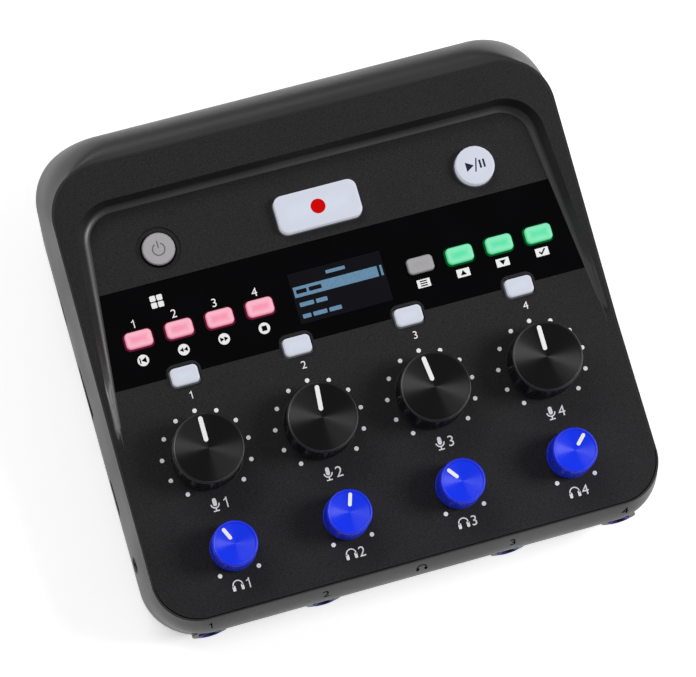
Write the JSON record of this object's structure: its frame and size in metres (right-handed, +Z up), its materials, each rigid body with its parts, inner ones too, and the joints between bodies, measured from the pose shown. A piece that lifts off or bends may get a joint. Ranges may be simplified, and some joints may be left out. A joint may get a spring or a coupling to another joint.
{
  "type": "podcast recorder",
  "caption": "Portable podcast recorder: sloping panel with level knobs, lit buttons and a small display, XLR sockets behind, headphone sockets in front, battery door underneath.",
  "frame": {"origin": "on the ground under the middle of the housing, level with the bottoms of the feet", "axes": "+X to the right as the user sees the panel, +Y to the rear, +Z up"},
  "size_m": [0.1396, 0.1325, 0.0462],
  "materials": {
    "cover_black": "fine spark texture, satin",
    "case_grey": "smooth satin",
    "strip_gloss": "polished",
    "display_glass": "polished, lit blue dots under it",
    "board_green": "solder mask",
    "inner_steel": "plain",
    "inner_black": "plain",
    "xlr_black": "satin",
    "contact_brass": "plated",
    "jack_black": "satin",
    "ring_blue": "satin",
    "port_steel": "plated",
    "screw_steel": "dark plated",
    "foot_rubber": "plain",
    "spring_steel": "nickel plated",
    "knob_black": "fine ribbed side, spun top",
    "knob_blue": "fine ribbed side, spun top",
    "shaft_metal": "plain",
    "pad_pink": "translucent, lit from below",
    "button_green": "translucent, lit from below",
    "button_grey": "translucent, not lit",
    "button_white": "translucent, lit from below",
    "slider_black": "plain"
  },
  "bodies": {
    "housing": {"top_cover": "cover_black", "bottom_case": "case_grey", "rear_cover": "case_grey", "control_strip": "strip_gloss", "battery_box": "inner_black", "display_module": "display_glass", "main_board": "board_green", "lower_board": "board_green", "input_board": "board_green", "mic_pots": "inner_steel", "phones_pots": "inner_steel", "xlr_jack_1": "xlr_black", "xlr_jack_2": "xlr_black", "xlr_jack_3": "xlr_black", "xlr_jack_4": "xlr_black", "xlr_contacts": "contact_brass", "headphone_jacks": "jack_black", "jack_rings": "ring_blue", "usb_ports": "port_steel", "card_socket": "port_steel", "phone_jack": "jack_black", "switch_bases": "inner_steel", "button_switches": "inner_black", "case_screws": "screw_steel", "rubber_feet": "foot_rubber", "battery_contacts": "spring_steel"},
    "mic_dial_1": {"mic_knob_1": "knob_black", "mic_shaft_1": "shaft_metal"},
    "mic_dial_2": {"mic_knob_2": "knob_black", "mic_shaft_2": "shaft_metal"},
    "mic_dial_3": {"mic_knob_3": "knob_black", "mic_shaft_3": "shaft_metal"},
    "mic_dial_4": {"mic_knob_4": "knob_black", "mic_shaft_4": "shaft_metal"},
    "phones_dial_1": {"phones_knob_1": "knob_blue", "phones_shaft_1": "shaft_metal"},
    "phones_dial_2": {"phones_knob_2": "knob_blue", "phones_shaft_2": "shaft_metal"},
    "phones_dial_3": {"phones_knob_3": "knob_blue", "phones_shaft_3": "shaft_metal"},
    "phones_dial_4": {"phones_knob_4": "knob_blue", "phones_shaft_4": "shaft_metal"},
    "power_button": {"power_button": "button_grey"},
    "record_button": {"record_button": "button_white"},
    "play_button": {"play_button": "button_white"},
    "pad_button_1": {"pad_button_1": "pad_pink"},
    "pad_button_2": {"pad_button_2": "pad_pink"},
    "pad_button_3": {"pad_button_3": "pad_pink"},
    "pad_button_4": {"pad_button_4": "pad_pink"},
    "function_button_1": {"function_button_1": "button_grey"},
    "function_button_2": {"function_button_2": "button_green"},
    "function_button_3": {"function_button_3": "button_green"},
    "function_button_4": {"function_button_4": "button_green"},
    "mute_button_1": {"mute_button_1": "button_white"},
    "mute_button_2": {"mute_button_2": "button_white"},
    "mute_button_3": {"mute_button_3": "button_white"},
    "mute_button_4": {"mute_button_4": "button_white"},
    "side_switch_1": {"side_switch_1": "slider_black"},
    "side_switch_2": {"side_switch_2": "slider_black"},
    "battery_door": {"battery_door": "case_grey"}
  },
  "joints": [
    {"name": "mic_level_1", "type": "hinge", "parent": "housing", "child": "mic_dial_1", "pos_m": [-0.045, -0.02349, 0.03325], "axis": [0, -0.0872, 0.9962], "range_deg": [-140, 140]},
    {"name": "mic_level_2", "type": "hinge", "parent": "housing", "child": "mic_dial_2", "pos_m": [-0.015, -0.02349, 0.03325], "axis": [0, -0.0872, 0.9962], "range_deg": [-135, 145]},
    {"name": "mic_level_3", "type": "hinge", "parent": "housing", "child": "mic_dial_3", "pos_m": [0.015, -0.02349, 0.03325], "axis": [0, -0.0872, 0.9962], "range_deg": [-147, 133]},
    {"name": "mic_level_4", "type": "hinge", "parent": "housing", "child": "mic_dial_4", "pos_m": [0.045, -0.02349, 0.03325], "axis": [0, -0.0872, 0.9962], "range_deg": [-140, 140]},
    {"name": "phones_level_1", "type": "hinge", "parent": "housing", "child": "phones_dial_1", "pos_m": [-0.045, -0.0484, 0.03107], "axis": [0, -0.0872, 0.9962], "range_deg": [-165, 115]},
    {"name": "phones_level_2", "type": "hinge", "parent": "housing", "child": "phones_dial_2", "pos_m": [-0.015, -0.0484, 0.03107], "axis": [0, -0.0872, 0.9962], "range_deg": [-122, 158]},
    {"name": "phones_level_3", "type": "hinge", "parent": "housing", "child": "phones_dial_3", "pos_m": [0.015, -0.0484, 0.03107], "axis": [0, -0.0872, 0.9962], "range_deg": [-178, 102]},
    {"name": "phones_level_4", "type": "hinge", "parent": "housing", "child": "phones_dial_4", "pos_m": [0.045, -0.0484, 0.03107], "axis": [0, -0.0872, 0.9962], "range_deg": [-95, 185]},
    {"name": "power_press", "type": "slide", "parent": "housing", "child": "power_button", "axis": [0, 0.0872, -0.9962], "range_m": [0, 0.0004], "stiffness_N_per_m": 1500, "springref_m": -0.0004},
    {"name": "record_press", "type": "slide", "parent": "housing", "child": "record_button", "axis": [0, 0.0872, -0.9962], "range_m": [0, 0.0004], "stiffness_N_per_m": 1500, "springref_m": -0.0004},
    {"name": "play_press", "type": "slide", "parent": "housing", "child": "play_button", "axis": [0, 0.0872, -0.9962], "range_m": [0, 0.0004], "stiffness_N_per_m": 1500, "springref_m": -0.0004},
    {"name": "pad_press_1", "type": "slide", "parent": "housing", "child": "pad_button_1", "axis": [0, 0.0872, -0.9962], "range_m": [0, 0.0004], "stiffness_N_per_m": 1500, "springref_m": -0.0004},
    {"name": "pad_press_2", "type": "slide", "parent": "housing", "child": "pad_button_2", "axis": [0, 0.0872, -0.9962], "range_m": [0, 0.0004], "stiffness_N_per_m": 1500, "springref_m": -0.0004},
    {"name": "pad_press_3", "type": "slide", "parent": "housing", "child": "pad_button_3", "axis": [0, 0.0872, -0.9962], "range_m": [0, 0.0004], "stiffness_N_per_m": 1500, "springref_m": -0.0004},
    {"name": "pad_press_4", "type": "slide", "parent": "housing", "child": "pad_button_4", "axis": [0, 0.0872, -0.9962], "range_m": [0, 0.0004], "stiffness_N_per_m": 1500, "springref_m": -0.0004},
    {"name": "function_press_1", "type": "slide", "parent": "housing", "child": "function_button_1", "axis": [0, 0.0872, -0.9962], "range_m": [0, 0.0004], "stiffness_N_per_m": 1500, "springref_m": -0.0004},
    {"name": "function_press_2", "type": "slide", "parent": "housing", "child": "function_button_2", "axis": [0, 0.0872, -0.9962], "range_m": [0, 0.0004], "stiffness_N_per_m": 1500, "springref_m": -0.0004},
    {"name": "function_press_3", "type": "slide", "parent": "housing", "child": "function_button_3", "axis": [0, 0.0872, -0.9962], "range_m": [0, 0.0004], "stiffness_N_per_m": 1500, "springref_m": -0.0004},
    {"name": "function_press_4", "type": "slide", "parent": "housing", "child": "function_button_4", "axis": [0, 0.0872, -0.9962], "range_m": [0, 0.0004], "stiffness_N_per_m": 1500, "springref_m": -0.0004},
    {"name": "mute_press_1", "type": "slide", "parent": "housing", "child": "mute_button_1", "axis": [0, 0.0872, -0.9962], "range_m": [0, 0.0004], "stiffness_N_per_m": 1500, "springref_m": -0.0004},
    {"name": "mute_press_2", "type": "slide", "parent": "housing", "child": "mute_button_2", "axis": [0, 0.0872, -0.9962], "range_m": [0, 0.0004], "stiffness_N_per_m": 1500, "springref_m": -0.0004},
    {"name": "mute_press_3", "type": "slide", "parent": "housing", "child": "mute_button_3", "axis": [0, 0.0872, -0.9962], "range_m": [0, 0.0004], "stiffness_N_per_m": 1500, "springref_m": -0.0004},
    {"name": "mute_press_4", "type": "slide", "parent": "housing", "child": "mute_button_4", "axis": [0, 0.0872, -0.9962], "range_m": [0, 0.0004], "stiffness_N_per_m": 1500, "springref_m": -0.0004},
    {"name": "side_slide_1", "type": "slide", "parent": "housing", "child": "side_switch_1", "axis": [0, 1, 0], "range_m": [-0.0013, 0.0013]},
    {"name": "side_slide_2", "type": "slide", "parent": "housing", "child": "side_switch_2", "axis": [0, 1, 0], "range_m": [-0.0013, 0.0013]},
    {"name": "door_hinge", "type": "hinge", "parent": "housing", "child": "battery_door", "pos_m": [0, 0.029, 0.0022], "axis": [1, 0, 0], "range_deg": [0, 90]}
  ]
}
